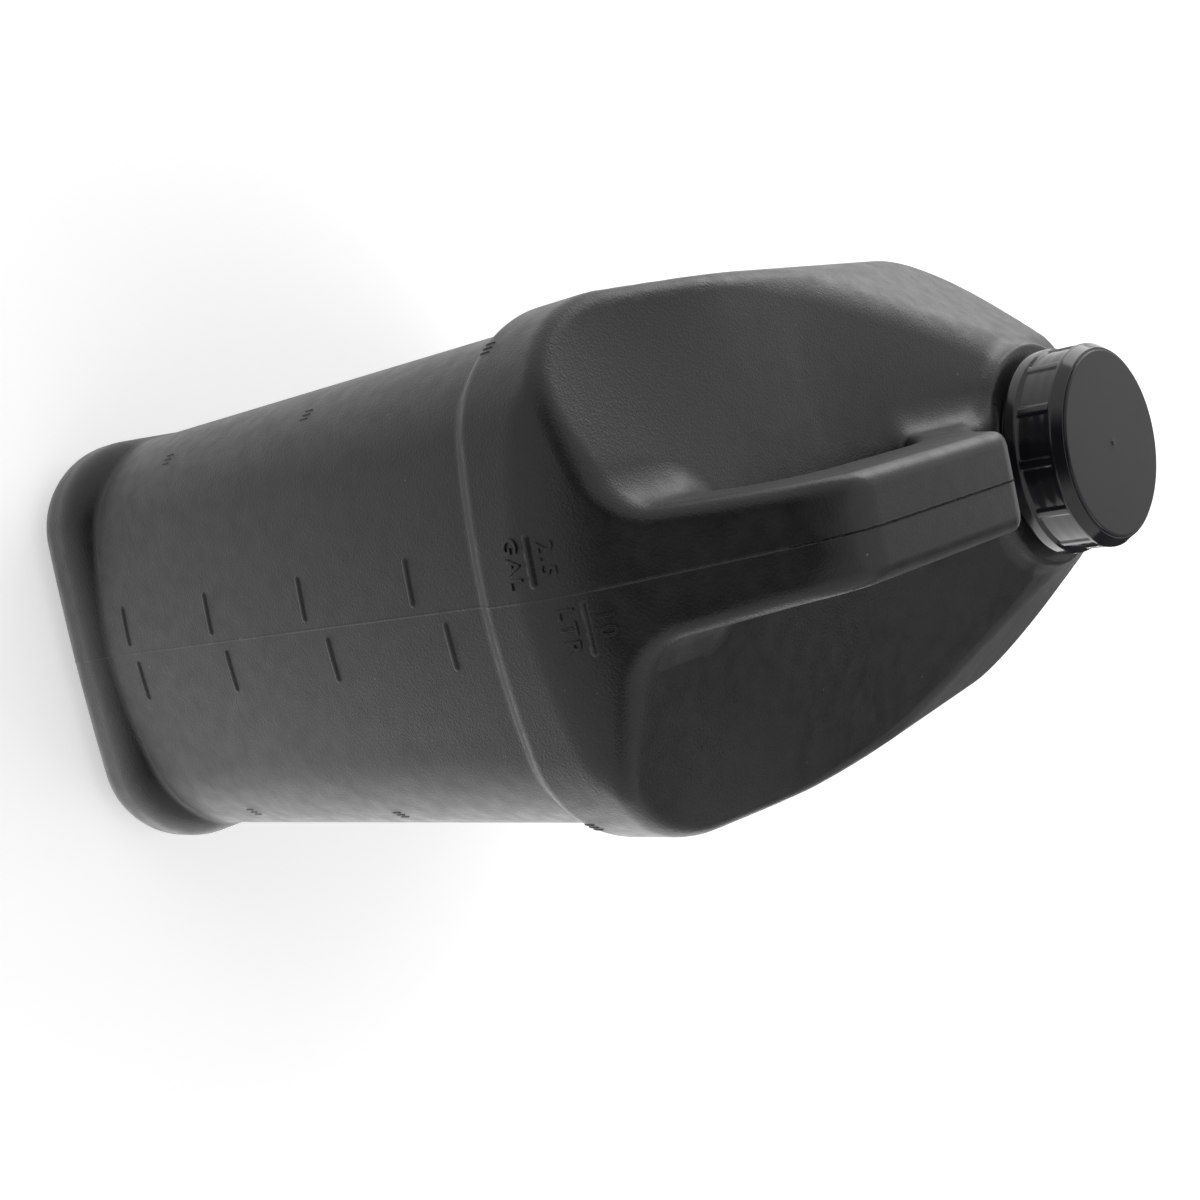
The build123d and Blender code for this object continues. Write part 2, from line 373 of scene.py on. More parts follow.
def handle(x, y, z):
    """Column, level bar and front post, with the finger gap below the bar and no bound at the rear."""
    grip_z = handle_top_z - BAR_THICKNESS
    brow = (COLUMN_TOP[0] + BROW_LENGTH, handle_top_z)
    form = round_and(half_plane(y, z, COLUMN_TOP, brow), z - handle_top_z, BROW_RADIUS)
    front = half_plane(y, z, (HANDLE_FRONT_Y, handle_top_z), (NOSE_Y, grip_z))
    form = round_and(form, front, HANDLE_EDGE_RADIUS)
    nose_end = (neck_y - COLLAR_RADIUS, COLLAR_Z)
    nose = half_plane(y, z, (NOSE_Y, grip_z), nose_end)
    before_collar = np.maximum(COLLAR_RADIUS - np.hypot(x, y - neck_y), y - neck_y)
    nose = np.maximum(nose, np.maximum(before_collar, POST_REAR_Y + POST_LEAN[0] - y))
    form = round_or(form, nose, NOSE_RADIUS)
    form = round_and(form, np.abs(x) - handle_half_width(z), HANDLE_EDGE_RADIUS)
    rear = (COLUMN_FOOT[0] + COLUMN_THICKNESS, COLUMN_FOOT[1])
    rear_top = (COLUMN_TOP[0] + COLUMN_THICKNESS, COLUMN_TOP[1])
    post = (POST_REAR_Y + POST_LEAN[0], grip_z - POST_LEAN[1])
    gap = round_and(half_plane(y, z, rear, rear_top), z - grip_z, GRIP_RADIUS)
    gap = round_and(gap, half_plane(y, z, (POST_REAR_Y, grip_z), post), GRIP_RADIUS)
    return round_and(form, -gap, HANDLE_EDGE_RADIUS)


def shoulder(x, y, z):
    """Everything above the lip: roof, hips, collar and handle, in front of the leaning rear face."""
    top = round_or(roof(x, y, z), collar_slope(x, y, z), COLLAR_BLEND)
    top = round_and(top, hip(x, y, z), HIP_RADIUS)
    top = round_or(top, collar(x, y, z), COLLAR_FOOT_RADIUS)
    top = round_or(top, handle(x, y, z), VALLEY_RADIUS)
    outline = plan(x, y, 0, 0, REAR_CORNER, END_BOW)
    outline = round_and(outline, half_plane(y, z, COLUMN_FOOT, COLUMN_TOP), BACK_RADIUS)
    to_collar = ramp(z, EAVES_Z, COLLAR_Z - COLLAR_WALL) * ramp(y, -half_length / 2, 0)
    edge = EAVES_RADIUS + (COLLAR_EDGE_RADIUS - EAVES_RADIUS) * to_collar
    to_brow = ramp(z, *BROW_EDGE_Z) * ramp(-y, *BROW_EDGE_Y)
    inside = 1 - ramp(np.abs(x), *BROW_EDGE_X)
    edge = edge + (BROW_RADIUS - edge) * to_brow * inside
    form = round_and(outline, top, edge)
    return round_and(form, LIP_Z - z, LIP_RADIUS)


def jug(x, y, z):
    """Outer form of the jug up to the collar."""
    form = round_or(bumper(x, y, z), panel(x, y, z), BASE_GROOVE_RADIUS)
    form = round_or(form, shoulder(x, y, z), GROOVE_RADIUS)
    return form - SEAM_RISE * np.exp(-((x / SEAM_WIDTH) ** 2)) * ramp(z, *SEAM_FOOT)


def cavity(x, y, z):
    """Inner form of the jug, one wall inside the outer one."""
    return jug(x, y, z) + WALL


# Meshes from fields

def surface_net(field, xs, ys, zs):
    """Points and quads of the surface where a field is zero, on a grid with uneven steps."""
    axes = (xs, ys, zs)
    grid = field(xs[:, None, None], ys[None, :, None], zs[None, None, :])
    inside = grid < 0
    shape = tuple(n - 1 for n in grid.shape)
    corners = [(i, j, k) for i in (0, 1) for j in (0, 1) for k in (0, 1)]

    def at(array, corner):
        return array[tuple(slice(c, c + n) for c, n in zip(corner, shape))]

    filled = sum(at(inside, corner).astype(np.int8) for corner in corners)
    cells = np.argwhere((filled > 0) & (filled < len(corners)))
    number = np.full(shape, -1)
    number[tuple(cells.T)] = np.arange(len(cells))
    total = np.zeros((len(cells), 3))
    crossings = np.zeros(len(cells))
    for axis in range(3):
        for corner in (c for c in corners if c[axis] == 0):
            low = cells + corner
            high = low + np.eye(3, dtype=int)[axis]
            start = grid[tuple(low.T)]
            end = grid[tuple(high.T)]
            crossed = (start < 0) != (end < 0)
            share = np.where(crossed, start / np.where(crossed, start - end, 1), 0)
            places = np.stack([axes[a][low[:, a]] for a in range(3)], axis=1)
            places[:, axis] += share * (axes[axis][high[:, axis]] - axes[axis][low[:, axis]])
            total += places * crossed[:, None]
            crossings += crossed
    quads = []
    for axis in range(3):
        first, second = (a for a in range(3) if a != axis)
        step = np.eye(3, dtype=int)
        changed = np.diff(inside.astype(np.int8), axis=axis)
        edges = np.argwhere(changed)
        keep = np.all([(edges[:, a] > 0) & (edges[:, a] < shape[a]) for a in (first, second)], axis=0)
        edges = edges[keep]
        ring = [edges - step[first] - step[second], edges - step[second], edges, edges - step[first]]
        faces = np.stack([number[tuple(cell.T)] for cell in ring], axis=1)
        flip = (changed[tuple(edges.T)] > 0) != (axis == 1)
        faces[flip] = faces[flip][:, ::-1]
        quads.append(faces)
    return total / crossings[:, None], np.concatenate(quads)


def slope_of(field, points, step=0.02):
    """Gradient of a field at some points."""
    parts = []
    for axis in np.eye(3) * step:
        ahead = field(*(points + axis).T)
        behind = field(*(points - axis).T)
        parts.append((ahead - behind) / (2 * step))
    return np.stack(parts, axis=1)


def settle(field, points, rounds=5):
    """Moves points onto the surface where a field is zero, and returns them with their normals."""
    for _ in range(rounds):
        slope = slope_of(field, points)
        share = field(*points.T) / np.maximum((slope**2).sum(1), LEAST_SLOPE)
        points = points - slope * share[:, None]
    slope = slope_of(field, points)
    return points, slope / np.linalg.norm(slope, axis=1)[:, None]


def spaced(*stops):
    """Grid values from (place, step) stops: each step holds from its place to the next one."""
    values = []
    for (low, step), (high, _) in zip(stops, stops[1:]):
        count = max(1, round((high - low) / step))
        values.extend(low + (high - low) * i / count for i in range(count))
    return np.array(values + [stops[-1][0]])


def new_piece(name, points, faces, normals=None):
    """Object with a smooth mesh, from points in millimetres."""
    mesh = bpy.data.meshes.new(name)
    faces = faces.tolist() if isinstance(faces, np.ndarray) else faces
    mesh.from_pydata((np.asarray(points) * MM).tolist(), [], faces)
    mesh.shade_smooth()
    if normals is not None:
        mesh.normals_split_custom_set_from_vertices(normals.tolist())
    piece = bpy.data.objects.new(name, mesh)
    bpy.context.scene.collection.objects.link(piece)
    return piece


def ring_hole(points, quads, radius, height):
    """Faces that are left without those inside a circle on a level surface, and the hole's edge by angle."""
    in_circle = np.hypot(points[:, 0], points[:, 1] - neck_y) < radius
    near = in_circle & (np.abs(points[:, 2] - height) < LEVEL_SLACK)
    gone = near[quads].all(axis=1)
    edge = np.intersect1d(quads[gone], quads[~gone])
    return quads[~gone], edge[np.argsort(turn_of(points[edge]))]


def turn_of(points):
    return np.arctan2(points[:, 1] - neck_y, points[:, 0])


def stitch(first, second, points):
    """Triangles that join an outer ring of points to an inner one, both in order of angle, facing up."""
    turns = [turn_of(points[ring]) for ring in (first, second)]
    counts = (len(first), len(second))
    faces = []
    i = j = 0
    while i < counts[0] or j < counts[1]:
        next_first = turns[0][(i + 1) % counts[0]] + tau * ((i + 1) // counts[0])
        next_second = turns[1][(j + 1) % counts[1]] + tau * ((j + 1) // counts[1])
        here, there = first[i % counts[0]], second[j % counts[1]]
        if j == counts[1] or (i < counts[0] and next_first <= next_second):
            faces.append((here, first[(i + 1) % counts[0]], there))
            i += 1
        else:
            faces.append((here, second[(j + 1) % counts[1]], there))
            j += 1
    return faces


def thread(angle, height, start):
    """Rise of a right-handed screw ridge, from 0 to 1, that fades out at both ends."""
    rise = 0 * height
    for turn in range(-1, 3):
        run = np.mod(angle, tau) + turn * tau
        ends = ramp(run, 0, THREAD_FADE) * ramp(THREAD_TURNS * tau - run, 0, THREAD_FADE)
        middle = start + THREAD_PITCH * run / tau
        inward = THREAD_HALF_WIDTH - np.abs(height - middle)
        rise = np.maximum(rise, ends * ramp(inward, 0, THREAD_HALF_WIDTH / 2))
    return rise


def profile(corners, step):
    """Points along a run of (radius, height, rounding) corners, with rounded corners and no wide gaps."""
    places = [np.array(corner[:2]) for corner in corners]
    arcs = [[places[0]]]
    for before, here, after, corner in zip(places, places[1:], places[2:], corners[1:]):
        back = (before - here) / np.linalg.norm(before - here)
        ahead = (after - here) / np.linalg.norm(after - here)
        half = np.arccos(np.clip(back @ ahead, -1, 1)) / 2
        reach = corner[2] / np.tan(half)
        shares = np.linspace(0, 1, ARC_POINTS if corner[2] else 1)
        arcs.append([here + back * reach * (1 - t) ** 2 + ahead * reach * t**2 for t in shares])
    arcs.append([places[-1]])
    points = []
    for arc, following in zip(arcs, arcs[1:]):
        points.extend(arc)
        gap = following[0] - arc[-1]
        count = int(np.ceil(np.linalg.norm(gap) / step))
        points.extend(arc[-1] + gap * i / count for i in range(1, count))
    points.extend(arcs[-1])
    return np.array(points)


def turned(line, segments, relief):
    """Points and quads of a profile turned about the neck's axis, with relief(angle, radius, height)."""
    angles = -pi + (np.arange(segments) + 0.5) * tau / segments
    radius = np.tile(line[:, 0], (segments, 1))
    height = np.tile(line[:, 1], (segments, 1))
    turns = np.tile(angles[:, None], (1, len(line)))
    radius = radius + relief(turns, radius, height)
    points = np.stack([radius * np.cos(turns), radius * np.sin(turns) + neck_y, height], axis=2)
    number = np.arange(segments * len(line)).reshape(segments, len(line))
    after = np.roll(number, -1, axis=0)
    quads = np.stack([number[:, :-1], number[:, 1:], after[:, 1:], after[:, :-1]], axis=2)
    return points.reshape(-1, 3), quads.reshape(-1, 4), number


def neck_relief(angle, radius, height):
    on_wall = np.abs(radius - NECK_RADIUS) < WALL_SLACK
    return THREAD_DEPTH * on_wall * thread(angle, height, THREAD_START_Z)


def bottle_skin():
    """Shell of the jug: outer skin, threaded neck and inner skin, stitched together at the collar."""
    outer, outer_quads = surface_net(jug, spaced(*SKIN_X), spaced(*SKIN_Y), spaced(*SKIN_Z))
    outer, outer_normals = settle(jug, outer)
    coarse = [spaced((-reach, CAVITY_STEP), (reach, 0)) for reach in (GRID_X, GRID_Y)]
    inner, inner_quads = surface_net(cavity, *coarse, spaced(*CAVITY_Z))
    inner, inner_normals = settle(cavity, inner)
    inside_z = COLLAR_Z - WALL
    corners = [
        (NECK_BORE_RADIUS, inside_z, 0),
        (NECK_BORE_RADIUS, NECK_TOP_Z, NECK_LIP_RADIUS), (NECK_RADIUS, NECK_TOP_Z, NECK_LIP_RADIUS),
        (NECK_RADIUS, COLLAR_Z, NECK_FOOT_RADIUS), (NECK_RADIUS + NECK_FOOT_WIDTH, COLLAR_Z, 0),
    ]
    neck, neck_quads, number = turned(profile(corners, NECK_STEP), NECK_SEGMENTS, neck_relief)
    level_radius = COLLAR_RADIUS - COLLAR_EDGE_RADIUS
    outer_quads, outer_edge = ring_hole(outer, outer_quads, level_radius, COLLAR_Z)
    inner_quads, inner_edge = ring_hole(inner, inner_quads, level_radius, inside_z)
    points = np.concatenate([outer, neck, inner])
    number = number + len(outer)
    inner_quads = inner_quads[:, ::-1] + len(outer) + len(neck)
    inner_edge = inner_edge + len(outer) + len(neck)
    faces = [*outer_quads.tolist(), *(neck_quads + len(outer)).tolist(), *inner_quads.tolist()]
    faces += stitch(outer_edge, number[:, -1], points)
    faces += [face[::-1] for face in stitch(inner_edge, number[:, 0], points)]
    used = np.unique(np.concatenate([np.ravel(face) for face in faces]))
    fresh = np.full(len(points), -1)
    fresh[used] = np.arange(len(used))
    faces = [[int(fresh[i]) for i in face] for face in faces]
    piece = new_piece("bottle_skin", points[used], faces)
    normals = np.empty((len(used), 3), dtype=np.float32)
    piece.data.vertex_normals.foreach_get("vector", normals.ravel())
    on_outer = used < len(outer)
    on_inner = used >= len(outer) + len(neck)
    normals[on_outer] = outer_normals[used[on_outer]]
    normals[on_inner] = -inner_normals[used[on_inner] - len(outer) - len(neck)]
    piece.data.normals_split_custom_set_from_vertices(normals.tolist())
    return piece


def cap_relief(angle, radius, height):
    """Ribs and sink marks on the skirt, and the screw ridge in the bore."""
    pitch = tau / RIB_COUNT
    across = np.abs(np.mod(angle + pitch / 2, pitch) - pitch / 2) * CAP_PANEL_RADIUS
    rib = ramp(RIB_WIDTH / 2 - across, 0, RIB_FLANK)
    ring_z = cap_rim_z + CAP_RIM_HEIGHT
    band_z = cap_top_z - CAP_FACE_STEP - CAP_BAND_HEIGHT
    on_skirt = (height > ring_z - SKIRT_SLACK) & (height < band_z + SKIRT_SLACK)
    on_skirt = on_skirt & (radius > CAP_PANEL_RADIUS - SKIRT_SLACK)
    rise = rib * np.maximum(CAP_PANEL_RADIUS + RIB_PROUD - radius, 0)
    fade = ramp(height, ring_z, ring_z + SINK_FADE) * ramp(band_z - height, 0, SINK_FADE) * (1 - rib)
    sink = SINK_DEPTH * fade * (0.5 + 0.5 * np.cos(tau * height / THREAD_PITCH - angle))
    in_bore = np.abs(radius - CAP_BORE_RADIUS) < WALL_SLACK
    above_rim = height > cap_rim_z + CAP_LEAD_IN
    ridge = thread(angle, height, THREAD_START_Z - THREAD_PITCH / 2) * above_rim
    return on_skirt * (rise - sink) - THREAD_DEPTH * in_bore * ridge


def cap_shell():
    """Screw cap with its matte face, sloped glossy band, ribbed skirt, lower ring and threaded bore."""
    ring_z = cap_rim_z + CAP_RIM_HEIGHT
    face_z = cap_top_z - CAP_FACE_STEP
    band_z = face_z - CAP_BAND_HEIGHT
    outside = [
        (CAP_AXIS_RADIUS, cap_top_z + GATE_HEIGHT, 0),
        (GATE_RADIUS, cap_top_z + GATE_HEIGHT, GATE_EDGE_RADIUS), (GATE_RADIUS, cap_top_z, GATE_FOOT_RADIUS),
        (CAP_FACE_RADIUS, cap_top_z, CAP_EDGE_RADIUS), (CAP_FACE_RADIUS, face_z, CAP_STEP_RADIUS),
        (CAP_BAND_RADIUS - CAP_SLOPE[0], face_z, CAP_SLOPE_RADII[0]),
        (CAP_BAND_RADIUS, face_z - CAP_SLOPE[1], CAP_SLOPE_RADII[1]),
        (CAP_BAND_RADIUS, band_z, CAP_BAND_RADII[0]),
        (CAP_PANEL_RADIUS, band_z - CAP_BAND_DROP, CAP_BAND_RADII[1]),
        (CAP_PANEL_RADIUS, ring_z + CAP_RIM_SLOPE[0], CAP_RIM_RADII[0]),
        (cap_rim_radius, ring_z - CAP_RIM_SLOPE[1], CAP_RIM_RADII[1]),
        (cap_rim_radius, cap_rim_z, CAP_EDGE_RADIUS), (CAP_BORE_RADIUS, cap_rim_z, CAP_BORE_EDGE_RADIUS),
    ]
    inside = [
        (CAP_BORE_RADIUS, cap_rim_z + CAP_BORE_EDGE, 0), (CAP_BORE_RADIUS, CAP_CEILING_Z, 0),
        (CAP_AXIS_RADIUS, CAP_CEILING_Z, 0),
    ]
    skirt = profile(outside + inside[:1], CAP_SKIRT_STEP)
    bore = profile(inside, CAP_BORE_STEP)
    wide = skirt[:, 0] > CAP_FACE_RADIUS - CAP_FACE_MARGIN
    gate = skirt[:, 0] < GATE_RADIUS + GATE_MARGIN
    level = np.arange(len(skirt)) % CAP_FACE_THINNING == 0
    deep = bore[:, 0] > CAP_BORE_RADIUS - WALL_SLACK
    sparse = np.arange(len(bore)) % CAP_CEILING_THINNING == 0
    line = np.concatenate([skirt[wide | gate | level], bore[1:][(deep | sparse)[1:]], bore[-1:]])
    points, quads, number = turned(line, CAP_SEGMENTS, cap_relief)
    faces = [*quads.tolist(), number[:, 0].tolist(), number[::-1, -1].tolist()]
    return new_piece("cap_shell", points, faces)


# Marks that stand on the skin

def wrapped(flat, place):
    """Lays points (u, v, rise) on the jug's skin: u runs level and v runs up from a place on it."""
    middle, normal = settle(jug, np.array([place], dtype=float))
    right = np.cross((0, 0, 1), normal[0])
    right = right / np.linalg.norm(right)
    up = np.cross(normal[0], right)
    points, normals = settle(jug, middle[0] + flat[:, :1] * right + flat[:, 1:2] * up)
    return points + normals * flat[:, 2:]


def pad(length, width, rise):
    """Points and quads of a low bar with round ends and a crowned top, along u."""
    columns = max(PAD_LEAST_COLUMNS, int(length / PAD_STEP))
    us = np.linspace(-length / 2 - PAD_MARGIN, length / 2 + PAD_MARGIN, columns)
    vs = np.linspace(-width / 2 - PAD_MARGIN, width / 2 + PAD_MARGIN, PAD_ROWS)
    u, v = np.meshgrid(us, vs, indexing="ij")
    inward = width / 2 - np.hypot(np.maximum(np.abs(u) - length / 2 + width / 2, 0), v)
    w = rise * ramp(inward, 0, width / PAD_FLANK_SHARE) - PAD_SINK
    number = np.arange(u.size).reshape(u.shape)
    quads = np.stack([number[:-1, :-1], number[1:, :-1], number[1:, 1:], number[:-1, 1:]], axis=2)
    return np.stack([u, v, w], axis=2).reshape(-1, 3), quads.reshape(-1, 4)


def letters(text, height):
    """Points and faces of a line of raised block letters, centred on its middle."""
    curve = bpy.data.curves.new("letters", "FONT")
    curve.body = text
    curve.align_x = "CENTER"
    curve.align_y = "CENTER"
    curve.size = height / CAPITAL_SHARE
    curve.space_character = LETTER_SPACING
    curve.extrude = LETTER_DEPTH
    curve.bevel_depth = LETTER_BEVEL
    curve.bevel_resolution = 2
    curve.offset = -LETTER_THINNING
    holder = bpy.data.objects.new("letters", curve)
    mesh = bpy.data.meshes.new_from_object(holder)
    points = np.empty((len(mesh.vertices), 3), dtype=np.float32)
    mesh.vertices.foreach_get("co", points.ravel())
    faces = [list(face.vertices) for face in mesh.polygons]
    bpy.data.objects.remove(holder)
    bpy.data.curves.remove(curve)
    bpy.data.meshes.remove(mesh)
    return points.astype(float), faces


def joined(name, parts):
    """One piece from several (points, faces) parts."""
    points, faces, count = [], [], 0
    for part_points, part_faces in parts:
        points.append(part_points)
        faces.extend([int(i) + count for i in face] for face in part_faces)
        count += len(part_points)
    return new_piece(name, np.concatenate(points), faces)


def scale_marks():
    parts = []
    for start, end, z in BARS:
        flat, quads = pad(end - start, BAR_WIDTH, MARK_RISE)
        parts.append((wrapped(flat, ((start + end) / 2, -half_length, z)), quads))
    for text, height, *place in TEXTS:
        flat, faces = letters(text, height)
        parts.append((wrapped(flat, place), faces))
    for place in TICKS:
        for shift in (-TICK_STEP, 0, TICK_STEP):
            flat, quads = pad(TICK_SIZE[1], TICK_SIZE[0], TICK_RISE)
            flat = np.stack([shift - flat[:, 1], flat[:, 0], flat[:, 2]], axis=1)
            parts.append((wrapped(flat, place), quads))
    return joined("scale_marks", parts)


def flash():
    """Ragged lips of the trimmed flash along the parting line, from the column over the handle's top."""
    brow = (COLUMN_TOP[0] + BROW_LENGTH / 2, handle_top_z)
    top = [FLASH_FROM, brow, (FLASH_TO[0] - FLASH_END_RUN, handle_top_z), FLASH_TO]
    gaps = [hypot(b[0] - a[0], b[1] - a[1]) for a, b in zip(top, top[1:])]
    run = np.concatenate([[0], np.cumsum(gaps)])
    steps = np.arange(0, run[-1], FLASH_STEP)
    along, up = (np.interp(steps, run, values) for values in zip(*top))
    middle, normals = settle(jug, np.stack([0 * steps, along, up]).T)
    chance = np.random.RandomState(FLASH_SEED)
    rough = chance.rand(len(steps), 3)
    tears = np.repeat(chance.rand(len(steps) // FLASH_TEAR + 1, 2), FLASH_TEAR, axis=0)
    spread, shift = FLASH_LIP_SPREAD
    lips = np.clip(tears[: len(steps)] * spread - shift, FLASH_LIP_LEAST, 1)
    lips = FLASH_RISE * lips * (1 - FLASH_LIP_ROUGHNESS + FLASH_LIP_ROUGHNESS * rough[:, :2])
    left, right = lips.T
    sway = FLASH_SWAY * np.sin(steps * FLASH_SWAY_RATE) + FLASH_JITTER * (rough[:, 2] - 0.5)
    sides = np.array(FLASH_SIDES) * FLASH_HALF_WIDTH
    low = np.full(len(steps), FLASH_ROOT)
    shoulders = lips.T * FLASH_LIP_SHOULDER
    lines = [low, shoulders[0], left, low + FLASH_VALLEY, right, shoulders[1], low]
    rise = np.stack(lines, axis=1)
    points = middle[:, None, :] + rise[:, :, None] * normals[:, None, :]
    points[:, :, 0] = sides[None, :] + sway[:, None]
    number = np.arange(points.shape[0] * points.shape[1]).reshape(points.shape[:2])
    quads = np.stack([number[:-1, :-1], number[:-1, 1:], number[1:, 1:], number[1:, :-1]], axis=2)
    return new_piece("flash", points.reshape(-1, 3), quads.reshape(-1, 4))


# Materials

def add(tree, kind, sockets, **settings):
    """New node with its settings, and with a value or a link on each named socket."""
    made = tree.nodes.new("ShaderNode" + kind)
    for key, value in settings.items():
        setattr(made, key, value)
    for key, value in sockets.items():
        if isinstance(value, bpy.types.NodeSocket):
            tree.links.new(value, made.inputs[key])
        else:
            made.inputs[key].default_value = value
    return made


def remap(tree, value, low, high, to_low, to_high, **settings):
    """Value carried from one range to another."""
    sockets = {"Value": value, "From Min": low, "From Max": high, "To Min": to_low, "To Max": to_high}
    return add(tree, "MapRange", sockets, **settings).outputs["Result"]


def shades(tree, value, stops):
    """Colour from a value through (place, colour) stops."""
    ramp_node = add(tree, "ValToRGB", {"Fac": value})
    elements = ramp_node.color_ramp.elements
    while len(elements) < len(stops):
        elements.new(0.5)
    for element, (place, colour) in zip(elements, stops):
        element.position = place
        element.color = (*colour, 1)
    return ramp_node.outputs["Color"]


def new_material(name):
    material = bpy.data.materials.new(name)
    material.use_nodes = True
    tree = material.node_tree
    place = add(tree, "TexCoord", {}).outputs["Object"]
    return material, tree, place, tree.nodes["Principled BSDF"]


def bottle_plastic():
    """Satin black polyethylene with a fine grain that is weaker on the handle's top, and specks of dust."""
    material, tree, place, shader = new_material("bottle_plastic")
    cloud = add(tree, "TexNoise", {"Vector": place, "Scale": 30.0, "Detail": 4.0}).outputs["Fac"]
    cells = add(tree, "TexVoronoi", {"Vector": place, "Scale": 95.0}).outputs["Distance"]
    speck = remap(tree, cells, 0.025, 0.045, 0.5, 0.0)
    shade = add(tree, "Math", {0: cloud, 1: 0.5, 2: speck}, operation="MULTIPLY_ADD").outputs["Value"]
    black, grey, dust = (0.0055, 0.0055, 0.006), (0.009, 0.009, 0.0098), (0.13, 0.13, 0.12)
    colour = shades(tree, shade, [(0.15, black), (0.38, grey), (0.55, grey), (0.9, dust)])
    tree.links.new(colour, shader.inputs["Base Color"])
    patches = add(tree, "TexNoise", {"Vector": place, "Scale": 160.0, "Detail": 3.0}).outputs["Fac"]
    tree.links.new(remap(tree, patches, 0.3, 0.7, 0.34, 0.45), shader.inputs["Roughness"])
    grain = add(tree, "TexVoronoi", {"Vector": place, "Scale": 1300.0}).outputs["Distance"]
    fine = add(tree, "TexNoise", {"Vector": place, "Scale": 2600.0, "Detail": 1.0}).outputs["Fac"]
    height = add(tree, "Math", {0: fine, 1: 0.6, 2: grain}, operation="MULTIPLY_ADD").outputs["Value"]
    level = add(tree, "SeparateXYZ", {"Vector": place}).outputs["Z"]
    share = remap(tree, level, *(z * MM for z in GRAIN_FADE_Z), 0.9, 0.3)
    bump = add(tree, "Bump", {"Strength": share, "Distance": 0.00007, "Height": height})
    shader.inputs["Sheen Weight"].default_value = 0.12
    shader.inputs["Sheen Roughness"].default_value = 0.35
    tree.links.new(bump.outputs["Normal"], shader.inputs["Normal"])
    return material


def torn_plastic():
    """Rough, dull edge of the trimmed flash."""
    material, tree, place, shader = new_material("torn_plastic")
    cloud = add(tree, "TexNoise", {"Vector": place, "Scale": 900.0, "Detail": 3.0}).outputs["Fac"]
    colour = shades(tree, cloud, [(0.35, (0.002, 0.002, 0.002)), (0.75, (0.03, 0.03, 0.03))])
    tree.links.new(colour, shader.inputs["Base Color"])
    tree.links.new(remap(tree, cloud, 0.3, 0.7, 0.7, 0.95), shader.inputs["Roughness"])
    shader.inputs["Specular IOR Level"].default_value = 0.15
    return material


def cap_plastic():
    """Glossy black moulded skirt with a matte, finely sparked face."""
    material, tree, place, shader = new_material("cap_plastic")
    level = add(tree, "SeparateXYZ", {"Vector": place}).outputs["Z"]
    cloud = add(tree, "TexNoise", {"Vector": place, "Scale": 60.0, "Detail": 3.0}).outputs["Fac"]
    colour = shades(tree, cloud, [(0.3, (0.006, 0.0065, 0.008)), (0.7, (0.010, 0.0105, 0.0125))])
    tree.links.new(colour, shader.inputs["Base Color"])
    face = [(cap_top_z - depth) * MM for depth in MATTE_DEPTHS]
    matte = remap(tree, level, *face, 0.08, 0.36)
    rough = add(tree, "Math", {0: cloud, 1: 0.1, 2: matte}, operation="MULTIPLY_ADD").outputs["Value"]
    tree.links.new(rough, shader.inputs["Roughness"])
    spark = add(tree, "TexNoise", {"Vector": place, "Scale": 2200.0, "Detail": 2.0}).outputs["Fac"]
    share = remap(tree, level, *face, 0.03, 0.5)
    bump = add(tree, "Bump", {"Strength": share, "Distance": 0.00006, "Height": spark})
    tree.links.new(bump.outputs["Normal"], shader.inputs["Normal"])
    return material


def liner_foam():
    """White closed-cell foam."""
    material, tree, place, shader = new_material("liner_foam")
    cells = add(tree, "TexVoronoi", {"Vector": place, "Scale": 2600.0}).outputs["Distance"]
    colour = shades(tree, cells, [(0.1, (0.7, 0.7, 0.68)), (0.6, (0.82, 0.82, 0.8))])
    tree.links.new(colour, shader.inputs["Base Color"])
    tree.links.new(remap(tree, cells, 0.0, 0.8, 0.7, 0.85), shader.inputs["Roughness"])
    bump = add(tree, "Bump", {"Strength": 0.4, "Distance": 0.00008, "Height": cells})
    tree.links.new(bump.outputs["Normal"], shader.inputs["Normal"])
    return material


# Stage

def white_world():
    """Bright surround with darker patches, one of them round the camera. The camera itself sees white."""
    world = bpy.data.worlds.new("world")
    world.use_nodes = True
    tree = world.node_tree
    place = add(tree, "TexCoord", {}).outputs["Generated"]
    light = SURROUND
    for middle, low, high, share in DARK_PATCHES:
        facing = add(tree, "VectorMath", {0: place, 1: middle.normalized()}, operation="DOT_PRODUCT")
        patch = remap(tree, facing.outputs["Value"], low, high, 1.0, share, interpolation_type="SMOOTHSTEP")
        light = add(tree, "Math", {0: patch, 1: light}, operation="MULTIPLY").outputs["Value"]
    seen = add(tree, "LightPath", {}).outputs["Is Camera Ray"]
    strength = add(tree, "Mix", {"Factor": seen, "A": light, "B": 1.0}).outputs["Result"]
    background = tree.nodes["Background"]
    background.inputs["Color"].default_value = (1, 1, 1, 1)
    tree.links.new(strength, background.inputs["Strength"])
    return world


